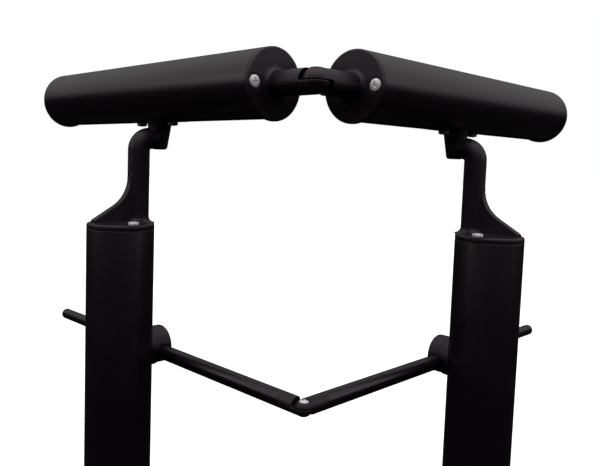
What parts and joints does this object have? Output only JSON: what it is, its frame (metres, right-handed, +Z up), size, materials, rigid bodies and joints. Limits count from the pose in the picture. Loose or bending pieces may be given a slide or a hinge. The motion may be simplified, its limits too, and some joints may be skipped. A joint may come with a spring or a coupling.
{
  "type": "railing corner",
  "caption": "Hinged corner section of a round-tube railing: two handrails on gooseneck brackets and posts, with horizontal bars joined at one vertical axis.",
  "frame": {"origin": "on the floor, under the middle of the whole corner section's box", "axes": "+Z up along the posts; +Y from the corner axis towards the inner side of the corner; X across, with the left wing at -X and the right wing at +X"},
  "size_m": [0.5014, 0.2595, 1],
  "materials": {
    "satin_black_aluminium": "satin black powder coat on extruded aluminium",
    "black_casting": "matte black powder coat on cast aluminium, slightly warm",
    "zinc_screws": "bright zinc plated steel",
    "black_screws": "black oxide steel, slightly glossy"
  },
  "bodies": {
    "left_run": {"left_handrail": "satin_black_aluminium", "left_corner_cap": "black_casting", "left_end_cap": "black_casting", "left_bracket": "black_casting", "left_saddle_plate": "satin_black_aluminium", "left_saddle_bolt": "zinc_screws", "left_saddle_screws": "black_screws", "left_cap_screws": "zinc_screws", "left_post": "satin_black_aluminium", "left_base_flange": "black_casting", "left_base_screws": "zinc_screws", "left_holder_screws": "zinc_screws", "left_bar_1": "satin_black_aluminium", "left_bar_2": "satin_black_aluminium", "left_bar_3": "satin_black_aluminium", "left_bar_4": "satin_black_aluminium", "left_sleeve_1": "satin_black_aluminium", "left_sleeve_2": "satin_black_aluminium", "left_sleeve_3": "satin_black_aluminium", "left_sleeve_4": "satin_black_aluminium", "left_hinge_1": "black_casting", "left_hinge_2": "black_casting", "left_hinge_3": "black_casting", "left_hinge_4": "black_casting", "left_holder_1": "black_casting", "left_holder_2": "black_casting", "left_holder_3": "black_casting", "left_holder_4": "black_casting", "corner_pivot_screw": "black_screws", "bar_pivot_screws": "zinc_screws"},
    "right_run": {"right_handrail": "satin_black_aluminium", "right_corner_cap": "black_casting", "right_end_cap": "black_casting", "right_bracket": "black_casting", "right_saddle_plate": "satin_black_aluminium", "right_saddle_bolt": "zinc_screws", "right_saddle_screws": "black_screws", "right_cap_screws": "zinc_screws", "right_post": "satin_black_aluminium", "right_base_flange": "black_casting", "right_base_screws": "zinc_screws", "right_holder_screws": "zinc_screws", "right_bar_1": "satin_black_aluminium", "right_bar_2": "satin_black_aluminium", "right_bar_3": "satin_black_aluminium", "right_bar_4": "satin_black_aluminium", "right_sleeve_1": "satin_black_aluminium", "right_sleeve_2": "satin_black_aluminium", "right_sleeve_3": "satin_black_aluminium", "right_sleeve_4": "satin_black_aluminium", "right_hinge_1": "black_casting", "right_hinge_2": "black_casting", "right_hinge_3": "black_casting", "right_hinge_4": "black_casting", "right_holder_1": "black_casting", "right_holder_2": "black_casting", "right_holder_3": "black_casting", "right_holder_4": "black_casting"}
  },
  "joints": [
    {"name": "corner_hinge", "type": "hinge", "parent": "left_run", "child": "right_run", "pos_m": [0, -0.12111, 0.975], "axis": [0, 0, 1], "range_deg": [-140, 5]}
  ]
}
